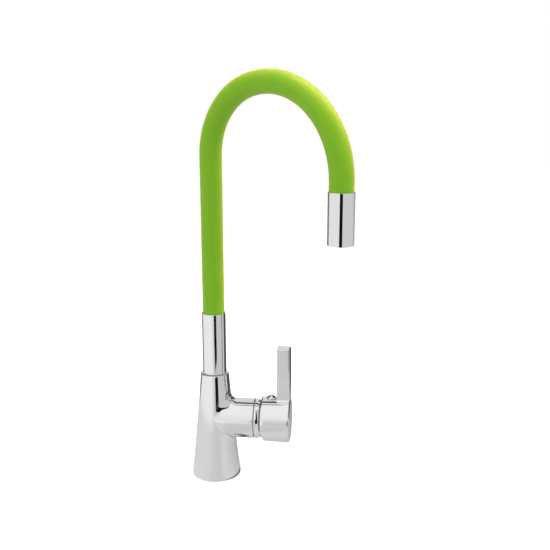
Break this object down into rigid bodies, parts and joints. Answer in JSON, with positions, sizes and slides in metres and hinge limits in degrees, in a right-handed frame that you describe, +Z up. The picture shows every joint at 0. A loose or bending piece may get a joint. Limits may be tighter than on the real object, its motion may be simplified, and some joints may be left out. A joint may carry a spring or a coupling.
{
  "type": "kitchen faucet",
  "caption": "Single-lever kitchen faucet with a conical body, a side lever and a bendable gooseneck spout in a silicone sleeve.",
  "frame": {"origin": "centre of the flat underside of the body, on the worktop", "axes": "+Z up along the body and the neck, +X out along the side arm to the lever"},
  "size_m": [0.1733, 0.133, 0.4333],
  "materials": {
    "chrome": "polished",
    "brass": "machined",
    "steel": "plain",
    "green_silicone": "smooth satin",
    "black_rubber": "matt",
    "white_plastic": "moulded",
    "grey_plastic": "moulded",
    "ceramic": "polished"
  },
  "bodies": {
    "body": {"faucet_body": "chrome", "base_seal": "black_rubber", "swivel_washer": "white_plastic", "cartridge_base": "white_plastic", "port_seal_hot": "black_rubber", "port_seal_cold": "black_rubber", "port_seal_mixed": "black_rubber", "fixed_ceramic_disc": "ceramic", "cartridge_housing": "grey_plastic", "cartridge_nut": "brass", "cover_ring": "chrome"},
    "rotor": {"cartridge_rotor": "white_plastic", "stem_pin": "steel"},
    "disc": {"moving_ceramic_disc": "ceramic", "disc_carrier": "white_plastic"},
    "handle": {"cartridge_stem": "steel", "lever_handle": "chrome", "grub_screw": "steel", "index_plug": "chrome"},
    "spout": {"spout_spigot": "brass", "spigot_oring_upper": "black_rubber", "spigot_oring_lower": "black_rubber", "retaining_clip": "steel", "neck_sleeve": "chrome", "silicone_sleeve_1": "green_silicone", "gooseneck_core_1": "steel", "water_hose_1": "white_plastic"},
    "hose_link_2": {"silicone_sleeve_2": "green_silicone", "gooseneck_core_2": "steel", "water_hose_2": "white_plastic"},
    "hose_link_3": {"silicone_sleeve_3": "green_silicone", "gooseneck_core_3": "steel", "water_hose_3": "white_plastic"},
    "hose_link_4": {"silicone_sleeve_4": "green_silicone", "gooseneck_core_4": "steel", "water_hose_4": "white_plastic"},
    "hose_link_5": {"silicone_sleeve_5": "green_silicone", "gooseneck_core_5": "steel", "water_hose_5": "white_plastic"},
    "hose_link_6": {"silicone_sleeve_6": "green_silicone", "gooseneck_core_6": "steel", "water_hose_6": "white_plastic"},
    "outlet": {"silicone_sleeve_7": "green_silicone", "gooseneck_core_7": "steel", "water_hose_7": "white_plastic", "outlet_connector": "brass", "outlet_sleeve": "chrome", "aerator_housing": "steel", "aerator_screen": "grey_plastic", "aerator_insert": "white_plastic", "aerator_gasket": "black_rubber"}
  },
  "joints": [
    {"name": "spout_swivel", "type": "hinge", "parent": "body", "child": "spout", "pos_m": [0, 0, 0.117], "axis": [0, 0, 1], "continuous": true},
    {"name": "handle_turn", "type": "hinge", "parent": "body", "child": "rotor", "pos_m": [0.05, 0, 0.0653], "axis": [1, 0, 0], "range_deg": [-45, 45]},
    {"name": "handle_lift", "type": "hinge", "parent": "rotor", "child": "handle", "pos_m": [0.05, 0, 0.0653], "axis": [0, 1, 0], "range_deg": [0, 25]},
    {"name": "disc_slide", "type": "slide", "parent": "rotor", "child": "disc", "axis": [0, 0, 1], "range_m": [0, 0.0071]},
    {"name": "hose_bend_1", "type": "hinge", "parent": "spout", "child": "hose_link_2", "pos_m": [0, 0, 0.23164], "axis": [0.5736, 0.8192, 0], "range_deg": [-20, 20]},
    {"name": "hose_bend_2", "type": "hinge", "parent": "hose_link_2", "child": "hose_link_3", "pos_m": [0, 0, 0.3045], "axis": [0.8192, -0.5736, 0], "range_deg": [-25, 25]},
    {"name": "hose_bend_3", "type": "hinge", "parent": "hose_link_3", "child": "hose_link_4", "pos_m": [0.00433, -0.00303, 0.37667], "axis": [0.5736, 0.8192, 0], "range_deg": [-25, 12]},
    {"name": "hose_bend_4", "type": "hinge", "parent": "hose_link_4", "child": "hose_link_5", "pos_m": [0.0455, -0.03186, 0.41945], "axis": [0.5736, 0.8192, 0], "range_deg": [-25, 12]},
    {"name": "hose_bend_5", "type": "hinge", "parent": "hose_link_5", "child": "hose_link_6", "pos_m": [0.09963, -0.06976, 0.40946], "axis": [0.5736, 0.8192, 0], "range_deg": [-25, 12]},
    {"name": "hose_bend_6", "type": "hinge", "parent": "hose_link_6", "child": "outlet", "pos_m": [0.13131, -0.09194, 0.35991], "axis": [-0.7836, 0.5487, -0.2915], "range_deg": [-25, 25]}
  ],
  "couplings": [
    {"joint": "disc_slide", "follows": "handle_lift", "m_per_rad": 0.016078}
  ]
}
